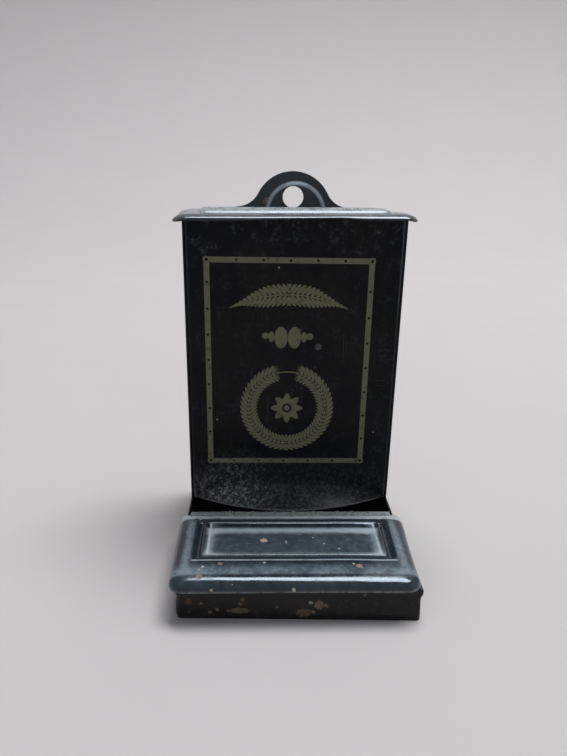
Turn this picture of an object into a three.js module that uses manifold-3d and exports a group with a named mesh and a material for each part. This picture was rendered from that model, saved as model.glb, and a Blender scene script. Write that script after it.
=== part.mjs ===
// Wall match holder in japanned tinplate: a tall magazine for kitchen matches, filled under a
// hinged lid at the top, which feeds a shallow tray in front under a second hinged lid.
// Millimetres, +Z up, -Y to the front. Origin: centre of the outline seen from above, on the table.
import * as THREE from 'three';
import { mergeVertices } from 'three/addons/utils/BufferGeometryUtils.js';
import Module from 'manifold-3d';

const wasm = await Module();
wasm.setup();

// Driving dimensions. Y is counted from the face of the front plate until the last step.
const SHEET = 0.5;
const LAP_GAP = 0.15;
const BODY_WIDTH = 70;
const BODY_DEPTH = 22;
const BODY_TOP = 107.4;
const TRAY_FRONT = -50.8;
const TRAY_CORNER = 2.5;
const RIM_REAR = 10;
const RIM_FRONT = 11.8;
const HEM_DEPTH = 2.4;
const SEAM_FLANGE = 5.5;

// The hanging tab, its nail hole and its raised arch share one centre line.
const TAB = { top: 120.9, radius: 13.2, footRadius: 8.3, foot: 109.3 };
const BACK_CORNER = 107.2;
const NAIL_HOLE = { z: 112.6, radius: 3.5 };
const ARCH_BEAD = { z: 108.3, radius: 8.65, halfWidth: 0.6, height: 0.55 };

const LIP_REACH = 9.3;
const LIP_RISE = 7.4;
const LIP_HALF = 33;
const FOLD_RADIUS = 1.2;
const SIDE_TUCK = 8;

const WIRE_RADIUS = 0.6;
const WIRE_PLAY = 0.1;
const WIRE_HEAD = { radius: 1.1, thickness: 0.5 };
const TOP_HINGE = { y: 17.1, z: 106.5 };
const LOWER_HINGE = { y: -12.2, z: 8.8 };
const CURL_HALF = 33.8;

const TOP_LID = {
  halfWidth: 38, front: -2.8, rearCut: 16.2, corner: 4,
  edge: 106.4, roll: 4.4, height: 2.2,
  panelHalf: 30.4, panelFront: 4.4, panelRear: 15.3, panelRise: 1.4,
};
const LOWER_LID = {
  halfWidth: 36.6, front: -52.5, rear: -13.4, corner: 4.6, rearCorner: 1.6,
  edge: 10.2, roll: 3.4, height: 3,
};

const HALF = BODY_WIDTH / 2;
const ORIGIN_Y = -(LOWER_LID.front + BODY_DEPTH) / 2;
const ALONG_X = new THREE.Matrix4().makeBasis(
  new THREE.Vector3(0, 1, 0), new THREE.Vector3(0, 0, 1), new THREE.Vector3(1, 0, 0));

// Solids and booleans

function toSolid(geometry) {
  const bare = geometry.clone();
  for (const name of ['normal', 'uv']) {
    bare.deleteAttribute(name);
  }
  const merged = mergeVertices(bare, 1e-4);
  return new wasm.Manifold(new wasm.Mesh({
    numProp: 3,
    vertProperties: new Float32Array(merged.attributes.position.array),
    triVerts: new Uint32Array(merged.index.array),
  }));
}

function toGeometry(solid) {
  const mesh = solid.getMesh();
  const geometry = new THREE.BufferGeometry();
  geometry.setAttribute('position', new THREE.BufferAttribute(mesh.vertProperties, 3));
  geometry.setIndex(new THREE.BufferAttribute(mesh.triVerts, 1));
  geometry.computeVertexNormals();
  return geometry;
}

function boxBetween(low, high) {
  const size = new THREE.Vector3().subVectors(high, low);
  const geometry = new THREE.BoxGeometry(size.x, size.y, size.z);
  geometry.translate((low.x + high.x) / 2, (low.y + high.y) / 2, (low.z + high.z) / 2);
  return toSolid(geometry);
}

// A profile drawn in the Y-Z plane, extruded along X from -half to +half.
function extrudeAcross(shape, half, curveSegments = 8) {
  const geometry = new THREE.ExtrudeGeometry(shape, { depth: 2 * half, bevelEnabled: false, curveSegments });
  geometry.translate(0, 0, -half);
  geometry.applyMatrix4(ALONG_X);
  return toSolid(geometry);
}

// An outline drawn in the X-Y plane, extruded up from z0 to z1.
function extrudeUp(shape, z0, z1) {
  const geometry = new THREE.ExtrudeGeometry(shape, { depth: z1 - z0, bevelEnabled: false });
  geometry.translate(0, 0, z0);
  return toSolid(geometry);
}

// A disc, rod or ring turned about an axis along X (or along Y) through the given point.
function turned(profile, axis, centre, segments = 24) {
  const geometry = new THREE.LatheGeometry(profile, segments);
  if (axis === 'x') {
    geometry.rotateZ(-Math.PI / 2);
  }
  geometry.translate(centre.x, centre.y, centre.z);
  return toSolid(geometry);
}

function wireHole(hinge) {
  const geometry = new THREE.CylinderGeometry(
    WIRE_RADIUS + WIRE_PLAY, WIRE_RADIUS + WIRE_PLAY, BODY_WIDTH + 10, 20);
  geometry.rotateZ(Math.PI / 2);
  geometry.translate(0, hinge.y, hinge.z);
  return toSolid(geometry);
}

// Sheet metal

// The points of a bent line: straight runs joined by bends of one radius.
function bentLine(corners, radius, steps = 4) {
  const points = [corners[0]];
  for (let i = 1; i < corners.length - 1; i += 1) {
    const before = new THREE.Vector2().subVectors(corners[i - 1], corners[i]).normalize();
    const after = new THREE.Vector2().subVectors(corners[i + 1], corners[i]).normalize();
    const halfAngle = Math.acos(THREE.MathUtils.clamp(before.dot(after), -1, 1)) / 2;
    const reach = radius / Math.tan(halfAngle);
    const start = corners[i].clone().addScaledVector(before, reach);
    const end = corners[i].clone().addScaledVector(after, reach);
    const middle = before.clone().add(after).normalize();
    const centre = corners[i].clone().addScaledVector(middle, radius / Math.sin(halfAngle));
    const from = start.clone().sub(centre).angle();
    let turn = end.clone().sub(centre).angle() - from;
    turn = Math.atan2(Math.sin(turn), Math.cos(turn));
    for (let k = 0; k <= steps; k += 1) {
      const angle = from + turn * k / steps;
      points.push(new THREE.Vector2(
        centre.x + radius * Math.cos(angle), centre.y + radius * Math.sin(angle)));
    }
  }
  points.push(corners[corners.length - 1]);
  return points;
}

function arcPoints(centreX, centreY, radius, fromDegrees, toDegrees, steps) {
  return Array.from({ length: steps + 1 }, (_, k) => {
    const angle = THREE.MathUtils.degToRad(fromDegrees + (toDegrees - fromDegrees) * k / steps);
    return new THREE.Vector2(centreX + radius * Math.cos(angle), centreY + radius * Math.sin(angle));
  });
}

// The cut edge of a sheet that follows a line: the sheet lies on the left of the line.
function sheetAlong(line, thickness) {
  const inner = line.map((point, i) => {
    const previous = line[Math.max(i - 1, 0)];
    const next = line[Math.min(i + 1, line.length - 1)];
    const along = new THREE.Vector2().subVectors(next, previous).normalize();
    const a = new THREE.Vector2().subVectors(point, previous).normalize();
    const b = new THREE.Vector2().subVectors(next, point).normalize();
    const mitre = a.length() && b.length() ? Math.sqrt((1 + a.dot(b)) / 2) : 1;
    return new THREE.Vector2(
      point.x - along.y * thickness / mitre, point.y + along.x * thickness / mitre);
  });
  return new THREE.Shape([...line, ...inner.reverse()]);
}

// Closed surface from a stack of closed loops with equal point counts; both ends are capped.
function loftLoops(loops) {
  const count = loops[0].length;
  const positions = loops.flat().flatMap((p) => [p.x, p.y, p.z]);
  const index = [];
  for (let k = 0; k < loops.length - 1; k += 1) {
    for (let i = 0; i < count; i += 1) {
      const j = (i + 1) % count;
      const [a, b, c, d] = [k * count + i, k * count + j, (k + 1) * count + i, (k + 1) * count + j];
      index.push(a, b, d, a, d, c);
    }
  }
  for (const [loop, first, flip] of [[loops[0], 0, true], [loops.at(-1), (loops.length - 1) * count, false]]) {
    const flat = loop.map((p) => new THREE.Vector2(p.x, p.y));
    for (const [a, b, c] of THREE.ShapeUtils.triangulateShape(flat, [])) {
      index.push(first + a, first + (flip ? c : b), first + (flip ? b : c));
    }
  }
  const geometry = new THREE.BufferGeometry();
  geometry.setAttribute('position', new THREE.Float32BufferAttribute(positions, 3));
  geometry.setIndex(index);
  return geometry;
}

// Loop of a rounded rectangle, counter-clockwise seen from above. Its rear corners may be tighter.
function roundedLoop({ halfWidth, front, rear, corner, rearCorner = corner, z }, steps = 5) {
  const cornerCentres = [
    [halfWidth - rearCorner, rear - rearCorner, rearCorner, 0],
    [-halfWidth + rearCorner, rear - rearCorner, rearCorner, 90],
    [-halfWidth + corner, front + corner, corner, 180],
    [halfWidth - corner, front + corner, corner, 270],
  ];
  return cornerCentres.flatMap(([x, y, radius, start]) => (
    arcPoints(x, y, radius, start, start + 90, steps).map((p) => new THREE.Vector3(p.x, p.y, z))));
}

// A pressed pan: loops run from the raw edge to the middle of the face. Each loop gives the
// direction of the sheet's thickness there, as a share moved inwards and a share moved down.
function pressedPan(loops, thickness = SHEET) {
  const outside = loops.map((loop) => roundedLoop(loop));
  const inside = loops.map((loop) => roundedLoop({
    halfWidth: loop.halfWidth - thickness * loop.inward,
    front: loop.front + thickness * loop.inward,
    rear: loop.rear - thickness * loop.inward,
    corner: Math.max(loop.corner - thickness * loop.inward, 0.15),
    rearCorner: Math.max((loop.rearCorner ?? loop.corner) - thickness * loop.inward, 0.15),
    z: loop.z - thickness * loop.down,
  }));
  return toSolid(loftLoops([...inside.reverse(), ...outside]));
}

// Quarter-round edge of a pan, from the raw edge up to the flat.
function rolledEdge(lid, rearAt, steps = 4) {
  return Array.from({ length: steps + 1 }, (_, k) => {
    const angle = (Math.PI / 2) * k / steps;
    const inset = lid.roll * (1 - Math.cos(angle));
    return {
      halfWidth: lid.halfWidth - inset,
      front: lid.front + inset,
      rear: rearAt(lid.edge + lid.height * Math.sin(angle)),
      corner: lid.corner - inset * 0.6,
      rearCorner: lid.rearCorner ? lid.rearCorner + inset * 0.5 : undefined,
      z: lid.edge + lid.height * Math.sin(angle),
      inward: Math.cos(angle),
      down: Math.sin(angle),
    };
  });
}

// Sheet that runs back from a lid, turns down and curls round the hinge wire.
function hingeCurl(hinge, flangeTop, flangeFrom) {
  const inner = WIRE_RADIUS + WIRE_PLAY;
  const outer = inner + SHEET;
  const outerLine = [
    new THREE.Vector2(flangeFrom, flangeTop),
    ...arcPoints(hinge.y + outer - SHEET, flangeTop - SHEET, SHEET, 90, 0, 3),
    ...arcPoints(hinge.y, hinge.z, outer, 0, -260, 20),
  ];
  const innerLine = [
    ...arcPoints(hinge.y, hinge.z, inner, -260, 0, 20),
    new THREE.Vector2(hinge.y + inner, flangeTop - SHEET),
    new THREE.Vector2(flangeFrom, flangeTop - SHEET),
  ];
  return extrudeAcross(new THREE.Shape([...outerLine, ...innerLine]), CURL_HALF);
}

// Pieces

// One strip bent round the tray's front corners: both side walls and the tray's front wall.
function sideWrap() {
  const rear = BODY_DEPTH - SHEET - LAP_GAP;
  const outline = (inset) => [
    new THREE.Vector2(-HALF + SEAM_FLANGE, rear - inset),
    ...arcPoints(-HALF + 0.8, rear - 0.8, 0.8 - inset, 90, 180, 3),
    ...arcPoints(-HALF + TRAY_CORNER, TRAY_FRONT + TRAY_CORNER, TRAY_CORNER - inset, 180, 270, 8),
    ...arcPoints(HALF - TRAY_CORNER, TRAY_FRONT + TRAY_CORNER, TRAY_CORNER - inset, 270, 360, 8),
    ...arcPoints(HALF - 0.8, rear - 0.8, 0.8 - inset, 0, 90, 3),
    new THREE.Vector2(HALF - SEAM_FLANGE, rear - inset),
  ];
  const wall = extrudeUp(new THREE.Shape([...outline(0), ...outline(SHEET).reverse()]), 0, BODY_TOP);

  // Hem of the tray's rim, folded inwards, from just in front of the hinge round the front.
  const hemRear = LOWER_HINGE.y - 2.4;
  const hemLine = (inset) => [
    new THREE.Vector2(-HALF + inset, hemRear),
    ...arcPoints(-HALF + TRAY_CORNER, TRAY_FRONT + TRAY_CORNER, TRAY_CORNER - inset, 180, 270, 8),
    ...arcPoints(HALF - TRAY_CORNER, TRAY_FRONT + TRAY_CORNER, TRAY_CORNER - inset, 270, 360, 8),
    new THREE.Vector2(HALF - inset, hemRear),
  ];
  const hemShape = new THREE.Shape([...hemLine(SHEET * 0.8), ...hemLine(2 * SHEET).reverse()]);
  const hem = extrudeUp(hemShape, RIM_REAR - HEM_DEPTH, RIM_FRONT + 1);

  // Everything above the rim in front of the magazine is cut away; the rim climbs to the front.
  const above = new THREE.Shape([
    new THREE.Vector2(0, RIM_REAR),
    new THREE.Vector2(0, BODY_TOP + 10),
    new THREE.Vector2(TRAY_FRONT - 10, BODY_TOP + 10),
    new THREE.Vector2(TRAY_FRONT - 10, RIM_FRONT),
    new THREE.Vector2(TRAY_FRONT, RIM_FRONT),
    new THREE.Vector2(hemRear, RIM_REAR),
  ]);
  const solid = wall.add(hem)
    .subtract(extrudeAcross(above, BODY_WIDTH))
    .subtract(wireHole(TOP_HINGE))
    .subtract(wireHole(LOWER_HINGE));

  // The seam flanges stop below the top lid's swing.
  const low = new THREE.Vector3(-HALF + 1, rear - 3, TOP_HINGE.z - 4);
  return solid.subtract(boxBetween(low, new THREE.Vector3(HALF - 1, BODY_DEPTH, BODY_TOP + 5)));
}

// Flat back with a bell-shaped hanging tab, a nail hole and a raised arch round the hole.
function backPlate() {
  const domeZ = TAB.top - TAB.radius;
  const footZ = TAB.foot + TAB.footRadius;
  const footX = Math.sqrt((TAB.radius + TAB.footRadius) ** 2 - (footZ - domeZ) ** 2);
  const lean = THREE.MathUtils.radToDeg(Math.atan2(footZ - domeZ, footX));
  const halfTab = [
    ...arcPoints(footX, footZ, TAB.footRadius, 262, 180 + lean, 8),
    ...arcPoints(0, domeZ, TAB.radius, lean, 90, 12).slice(1),
  ];
  const mirrored = halfTab.slice(0, -1).reverse().map((p) => new THREE.Vector2(-p.x, p.y));
  const corner = arcPoints(HALF - 2, BACK_CORNER - 2, 2, 0, 82, 4);
  const outline = new THREE.Shape([
    new THREE.Vector2(-HALF, 0), new THREE.Vector2(HALF, 0),
    ...corner, ...halfTab, ...mirrored, ...corner.map((p) => new THREE.Vector2(-p.x, p.y)).reverse(),
  ]);
  const hole = new THREE.Path();
  hole.absarc(0, NAIL_HOLE.z, NAIL_HOLE.radius, 0, 2 * Math.PI, true);
  outline.holes.push(hole);
  const plate = new THREE.ExtrudeGeometry(outline, { depth: SHEET, bevelEnabled: false, curveSegments: 14 });
  plate.rotateX(Math.PI / 2);
  plate.translate(0, BODY_DEPTH, 0);

  const face = BODY_DEPTH - SHEET;
  const archRing = (halfWidth, from, to) => turned([
    new THREE.Vector2(ARCH_BEAD.radius - halfWidth, from),
    new THREE.Vector2(ARCH_BEAD.radius - halfWidth * 0.55, to + (from - to) * 0.25),
    new THREE.Vector2(ARCH_BEAD.radius, to),
    new THREE.Vector2(ARCH_BEAD.radius + halfWidth * 0.55, to + (from - to) * 0.25),
    new THREE.Vector2(ARCH_BEAD.radius + halfWidth, from),
    new THREE.Vector2(ARCH_BEAD.radius - halfWidth, from),
  ], 'y', { x: 0, y: 0, z: ARCH_BEAD.z }, 48);
  const upper = boxBetween(
    new THREE.Vector3(-HALF, 0, ARCH_BEAD.z - 1), new THREE.Vector3(HALF, BODY_DEPTH + 5, TAB.top + 5));
  const ridge = archRing(ARCH_BEAD.halfWidth, face + SHEET * 0.4, face - ARCH_BEAD.height).intersect(upper);
  const groove = archRing(ARCH_BEAD.halfWidth * 0.7, BODY_DEPTH + 0.2, face + 0.1).intersect(upper);
  return toSolid(plate).add(ridge).subtract(groove);
}

// Depth of the scoop at the foot of the front plate: none at its corners, most in the middle.
function lipReach(x) {
  return LIP_REACH * Math.max(1 - (x / LIP_HALF) ** 2, 0);
}

function lipHeight(x) {
  return 1 + (LIP_RISE - 1) * Math.max(1 - (x / LIP_HALF) ** 4, 0);
}

// Front of the magazine: a channel tucked between the side walls, its foot drawn forward.
function frontPlate() {
  const edge = HALF - SHEET - LAP_GAP;
  const top = BODY_TOP;
  const halfPlan = [
    new THREE.Vector2(edge, SIDE_TUCK),
    ...arcPoints(edge - FOLD_RADIUS, FOLD_RADIUS, FOLD_RADIUS, 0, -90, 4),
  ];
  const faceSteps = 22;
  const faceHalf = edge - FOLD_RADIUS;
  const facePoints = Array.from({ length: faceSteps - 1 }, (_, k) => (
    new THREE.Vector2(faceHalf - 2 * faceHalf * (k + 1) / faceSteps, 0)));
  const plan = [...halfPlan, ...facePoints, ...halfPlan.map((p) => new THREE.Vector2(-p.x, p.y)).reverse()];
  const rows = [0, 0.14, 0.28, 0.42, 0.56, 0.7, 0.85, 1];

  const pointAt = (p, row) => {
    const share = rows[Math.min(row, rows.length - 1)];
    const z = row < rows.length ? RIM_REAR + lipHeight(p.x) * share : top;
    return new THREE.Vector3(p.x, p.y - lipReach(p.x) * (1 - share) ** 1.5, z);
  };
  const rowCount = rows.length + 1;
  const outside = plan.map((p) => Array.from({ length: rowCount }, (_, row) => pointAt(p, row)));
  const inside = outside.map((column, i) => column.map((point, row) => {
    const left = outside[Math.max(i - 1, 0)][row];
    const right = outside[Math.min(i + 1, plan.length - 1)][row];
    const below = column[Math.max(row - 1, 0)];
    const above = column[Math.min(row + 1, rowCount - 1)];
    const across = new THREE.Vector3().subVectors(left, right);
    const normal = across.cross(new THREE.Vector3().subVectors(above, below)).normalize();
    return point.clone().addScaledVector(normal, -SHEET);
  }));
  return toSolid(gridShell(outside, inside));
}

// Closed shell between two grids of points, face to face, with its four edges walled.
function gridShell(outside, inside) {
  const columns = outside.length;
  const rows = outside[0].length;
  const positions = [outside, inside].flatMap((grid) => grid.flat()).flatMap((p) => [p.x, p.y, p.z]);
  const at = (side, i, row) => side * columns * rows + i * rows + row;
  const index = [];
  const quad = (a, b, c, d) => index.push(a, b, c, a, c, d);
  for (let i = 0; i < columns - 1; i += 1) {
    for (let row = 0; row < rows - 1; row += 1) {
      quad(at(0, i, row), at(0, i, row + 1), at(0, i + 1, row + 1), at(0, i + 1, row));
      quad(at(1, i, row), at(1, i + 1, row), at(1, i + 1, row + 1), at(1, i, row + 1));
    }
    quad(at(0, i, 0), at(0, i + 1, 0), at(1, i + 1, 0), at(1, i, 0));
    quad(at(0, i, rows - 1), at(1, i, rows - 1), at(1, i + 1, rows - 1), at(0, i + 1, rows - 1));
  }
  for (let row = 0; row < rows - 1; row += 1) {
    const last = columns - 1;
    quad(at(0, 0, row), at(1, 0, row), at(1, 0, row + 1), at(0, 0, row + 1));
    quad(at(0, last, row), at(0, last, row + 1), at(1, last, row + 1), at(1, last, row));
  }
  const geometry = new THREE.BufferGeometry();
  geometry.setAttribute('position', new THREE.Float32BufferAttribute(positions, 3));
  geometry.setIndex(index);
  return geometry;
}

// Shallow pan that closes the bottom, its edges turned up inside the walls.
function floorPan() {
  const edge = { halfWidth: HALF - SHEET - LAP_GAP, front: TRAY_FRONT + SHEET + LAP_GAP, rear: BODY_DEPTH - 1.3 };
  const corner = TRAY_CORNER - SHEET - LAP_GAP;
  const bend = 0.7;
  const loops = [
    { ...edge, corner, z: 4.5, inward: 1, down: 0 },
    { ...edge, corner, z: bend, inward: 1, down: 0 },
    ...[0.35, 0.7, 1].map((share) => {
      const angle = share * Math.PI / 2;
      const inset = bend * (1 - Math.cos(angle));
      return {
        halfWidth: edge.halfWidth - inset, front: edge.front + inset, rear: edge.rear - inset,
        corner: corner - inset, z: bend * (1 - Math.sin(angle)),
        inward: Math.cos(angle), down: -Math.sin(angle),
      };
    }),
  ];
  const outside = loops.map((loop) => roundedLoop(loop));
  const inside = loops.map((loop) => roundedLoop({
    ...loop,
    halfWidth: loop.halfWidth - SHEET * loop.inward,
    front: loop.front + SHEET * loop.inward,
    rear: loop.rear - SHEET * loop.inward,
    corner: loop.corner - SHEET * loop.inward,
    z: loop.z - SHEET * loop.down,
  }));
  return toSolid(loftLoops([...outside.reverse(), ...inside]));
}

// Sloping floor of the magazine: matches slide down it and forward into the tray.
function chutePlate() {
  const rear = BODY_DEPTH - 1.4;
  const line = bentLine([
    new THREE.Vector2(rear, 27),
    new THREE.Vector2(rear, 21),
    new THREE.Vector2(5, SHEET + LAP_GAP),
    new THREE.Vector2(1.5, SHEET + LAP_GAP),
  ], 1.2);
  return extrudeAcross(sheetAlong(line.reverse(), SHEET), HALF - 1.4);
}

// Hinge wire with a flattened head outside each wall.
function hingeWire(hinge) {
  const shank = HALF + WIRE_PLAY;
  const end = shank + WIRE_HEAD.thickness;
  const right = [
    new THREE.Vector2(WIRE_RADIUS, shank),
    new THREE.Vector2(WIRE_HEAD.radius, shank),
    new THREE.Vector2(WIRE_HEAD.radius, shank + WIRE_HEAD.thickness * 0.5),
    new THREE.Vector2(WIRE_HEAD.radius * 0.6, end),
    new THREE.Vector2(0, end),
  ];
  const left = right.map((p) => new THREE.Vector2(p.x, -p.y)).reverse();
  return turned([...left, ...right], 'x', { x: 0, y: hinge.y, z: hinge.z }, 20);
}

// Top lid: rolled edges at the front and sides, a raised panel, a curl at the back.
function topLid() {
  const lid = TOP_LID;
  const flat = lid.edge + lid.height;
  const pastRear = BODY_DEPTH + 8;
  const ring = (halfWidth, front, rear, corner, z, inward, down) => (
    { halfWidth, front, rear, corner, z, inward, down });
  const pan = pressedPan([
    ...rolledEdge(lid, () => pastRear),
    ring(lid.panelHalf, lid.panelFront, lid.panelRear, 2.6, flat, 0.25, 0.95),
    ring(lid.panelHalf - 0.5, lid.panelFront + 0.5, lid.panelRear - 0.5, 2.4, flat + lid.panelRise * 0.5, 0.7, 0.7),
    ring(lid.panelHalf - 1.1, lid.panelFront + 1.1, lid.panelRear - 1.1, 2, flat + lid.panelRise, 0.25, 0.95),
    ring(lid.panelHalf - 3, lid.panelFront + 2.4, lid.panelRear - 2.4, 1.4, flat + lid.panelRise, 0, 1),
  ]);
  const low = new THREE.Vector3(-HALF * 2, lid.rearCut, 0);
  const trimmed = pan.subtract(boxBetween(low, new THREE.Vector3(HALF * 2, pastRear + 5, BODY_TOP + 20)));
  return trimmed.add(hingeCurl(TOP_HINGE, flat, lid.rearCut - 0.6));
}

// Lower lid: rolled edges, a moat and a raised, slightly dished panel, a curl at the back.
function lowerLid() {
  const lid = LOWER_LID;
  const crest = lid.edge + lid.height;
  const flangeTop = lid.edge + 0.7;
  const rearCrest = -19;
  const rearSlope = (z) => lid.rear - (lid.rear - rearCrest) * Math.max(z - flangeTop, 0) / (crest - flangeTop);
  const ring = (halfWidth, front, rear, corner, z, inward, down) => (
    { halfWidth, front, rear, corner, z, inward, down });
  const pan = pressedPan([
    ...rolledEdge(lid, rearSlope),
    ring(31.9, -47, -19.4, 3, crest + 0.1, 0, 1),
    ring(31.1, -45.6, -19.8, 2.6, crest - 0.25, -0.5, 0.85),
    ring(30.1, -43.4, -20.2, 2.2, crest - 0.9, -0.45, 0.9),
    ring(29.2, -40.6, -20.5, 1.6, crest - 1.15, 0, 1),
    ring(28.5, -39.5, -20.9, 1.2, crest - 0.95, 0.5, 0.85),
    ring(28.1, -39.1, -21.3, 1, crest - 0.2, 0.5, 0.85),
    ring(27.5, -38.5, -21.9, 0.9, crest - 0.05, 0, 1),
    ring(26, -37, -23.4, 1.2, crest - 0.4, -0.2, 1),
    ring(23.5, -35.2, -25.4, 1.6, crest - 0.6, 0, 1),
  ]);

  // Notches over the side walls, so that the back corners clear them as the lid swings.
  const notch = (side) => boxBetween(
    new THREE.Vector3(Math.min(side * 34.1, side * 35.4), LOWER_HINGE.y - 1.5, 0),
    new THREE.Vector3(Math.max(side * 34.1, side * 35.4), 0, crest));
  const curl = hingeCurl(LOWER_HINGE, flangeTop, lid.rear - SHEET * 0.7);
  return pan.add(curl).subtract(notch(1)).subtract(notch(-1));
}

// Assembly

function material(color, roughness, metalness) {
  return new THREE.MeshStandardMaterial({ color, roughness, metalness });
}

const wholePart = new THREE.Group();
const holder = new THREE.Group();
holder.position.y = ORIGIN_Y;
wholePart.add(holder);

function addPiece(name, solid, finish) {
  const mesh = new THREE.Mesh(toGeometry(solid), finish);
  mesh.name = name;
  holder.add(mesh);
}

addPiece('side_wrap', sideWrap(), material(0x1b1c20, 0.35, 0.2));
addPiece('back_plate', backPlate(), material(0x25282d, 0.35, 0.2));
addPiece('front_plate', frontPlate(), material(0x16171a, 0.3, 0.2));
addPiece('floor_pan', floorPan(), material(0x1d1d1f, 0.5, 0.2));
addPiece('chute_plate', chutePlate(), material(0x1a1a1c, 0.5, 0.2));
addPiece('top_lid', topLid(), material(0x39434d, 0.3, 0.25));
addPiece('top_hinge_wire', hingeWire(TOP_HINGE), material(0x3a3835, 0.45, 0.7));
addPiece('lower_lid', lowerLid(), material(0x27313c, 0.25, 0.25));
addPiece('lower_hinge_wire', hingeWire(LOWER_HINGE), material(0x3c3935, 0.45, 0.7));

export default wholePart;
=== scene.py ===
import math

import bpy
import numpy as np
from mathutils import Matrix, Vector


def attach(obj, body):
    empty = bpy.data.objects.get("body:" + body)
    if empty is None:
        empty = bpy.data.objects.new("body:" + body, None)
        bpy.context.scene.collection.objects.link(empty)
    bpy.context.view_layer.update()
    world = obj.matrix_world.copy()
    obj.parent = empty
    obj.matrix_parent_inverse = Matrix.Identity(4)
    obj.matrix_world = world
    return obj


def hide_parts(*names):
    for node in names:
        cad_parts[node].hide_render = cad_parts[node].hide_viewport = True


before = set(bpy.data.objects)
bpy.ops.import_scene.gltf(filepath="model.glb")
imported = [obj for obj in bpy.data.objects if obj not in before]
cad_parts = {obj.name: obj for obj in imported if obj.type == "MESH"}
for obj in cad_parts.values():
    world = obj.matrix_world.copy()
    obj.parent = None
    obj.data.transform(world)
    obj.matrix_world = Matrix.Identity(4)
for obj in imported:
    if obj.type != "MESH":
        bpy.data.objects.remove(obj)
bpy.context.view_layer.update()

# Sizes in millimetres. Y is counted from the face of the front plate, as the tinsmith would,
# and PLATE_Y turns it into the frame's Y.
PLATE_Y = 15.25
SHEET = 0.5
GAP = 0.15
HALF = 35.0
DEPTH = 22.0
WALL_TOP = 107.4
TRAY_FRONT = -50.8
TRAY_CORNER = 1.2
RIM_REAR, RIM_FRONT = 10.0, 11.8
TOP_PIN = (17.1, 106.5)
LOWER_PIN = (-12.2, 8.8)
PIN_RADIUS, PIN_PLAY = 0.6, 0.1
WIRE_HALF, WIRE_HEAD, WIRE_HEAD_THICKNESS, WIRE_BOW = 35.6, 1.1, 0.25, 0.02
CURL_HALF = 33.8
LIP_REACH, LIP_RISE, LIP_HALF, LIP_FOOT, LIP_END_RISE = 9.3, 7.4, 33.0, 10, 1
LIP_SWEEP = 1.9                        # how softly the scoop starts: the power of its curve
TAB_TOP, TAB_RADIUS, TAB_FOOT_RADIUS, TAB_FOOT = 120.9, 13.2, 8.3, 109.3
NAIL_Z, NAIL_RADIUS = 112.6, 3.5
ARCH_X, ARCH_Z, ARCH_RADIUS = 0.9, 107.5, 9.55

SMOOTH_ANGLE = 38                      # degrees: a sharper edge than this is shaded sharp


# Mesh making

def to_frame(points):
    """Millimetres counted from the plate's face, to metres in the frame."""
    return (np.asarray(points, float).reshape(-1, 3) + (0, PLATE_Y, 0)) / 1000


def make_piece(name, points, faces, smooth_angle=SMOOTH_ANGLE):
    mesh = bpy.data.meshes.new(name)
    mesh.from_pydata([tuple(p) for p in to_frame(points)], [], [tuple(map(int, f)) for f in faces])
    mesh.validate()
    piece = bpy.data.objects.new(name, mesh)
    bpy.context.scene.collection.objects.link(piece)
    shade(piece, smooth_angle)
    return piece


def shade(piece, angle=SMOOTH_ANGLE):
    mesh = piece.data
    mesh.polygons.foreach_set("use_smooth", [True] * len(mesh.polygons))
    mesh.set_sharp_from_angle(angle=math.radians(angle))


def apply_boolean(piece, other, operation):
    """Joins or cuts a piece with another, and throws the other away."""
    step = piece.modifiers.new("join", "BOOLEAN")
    step.operation = operation
    step.object = other
    step.solver = "EXACT"
    bake_modifiers(piece)
    bpy.data.objects.remove(other)
    return piece


def bake_modifiers(piece):
    graph = bpy.context.evaluated_depsgraph_get()
    graph.update()
    mesh = bpy.data.meshes.new_from_object(piece.evaluated_get(graph))
    piece.modifiers.clear()
    old = piece.data
    piece.data = mesh
    mesh.name = old.name
    bpy.data.meshes.remove(old)
    return piece


def points_of(mesh):
    """Every vertex in millimetres, counted from the plate's face."""
    flat = np.zeros(len(mesh.vertices) * 3)
    mesh.vertices.foreach_get("co", flat)
    return flat.reshape(-1, 3) * 1000 - (0, PLATE_Y, 0)


def move_points(piece, change):
    """Moves every vertex by a rule written in millimetres from the plate's face."""
    mesh = piece.data
    mesh.vertices.foreach_set("co", to_frame(change(points_of(mesh))).ravel())
    mesh.update()


def ease(low, high, value):
    share = np.clip((value - low) / (high - low), 0, 1)
    return share * share * (3 - 2 * share)


def arc(cx, cy, radius, start, end, steps):
    angles = np.radians(np.linspace(start, end, steps + 1))
    return np.stack([cx + radius * np.cos(angles), cy + radius * np.sin(angles)], 1)


def straight(a, b, steps):
    return np.linspace(a, b, steps + 1)[1:-1]


def smooth_rows(rows, per_step):
    """Cubic curve through the rows of numbers, spaced by how far apart the rows are."""
    rows = np.asarray(rows, float)
    gap = np.maximum(np.abs(np.diff(rows, axis=0)).sum(1), 1e-3) ** 0.5
    slope = np.zeros_like(rows)
    step = np.diff(rows, axis=0) / gap[:, None]
    slope[0], slope[-1] = step[0], step[-1]
    slope[1:-1] = (step[:-1] * gap[1:, None] + step[1:] * gap[:-1, None]) / (gap[:-1] + gap[1:])[:, None]
    out = [rows[0]]
    for i in range(len(rows) - 1):
        for k in range(1, per_step + 1):
            t = k / per_step
            h = gap[i]
            out.append((2 * t**3 - 3 * t**2 + 1) * rows[i] + (t**3 - 2 * t**2 + t) * h * slope[i]
                       + (3 * t**2 - 2 * t**3) * rows[i + 1] + (t**3 - t**2) * h * slope[i + 1])
    return np.array(out)


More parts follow.
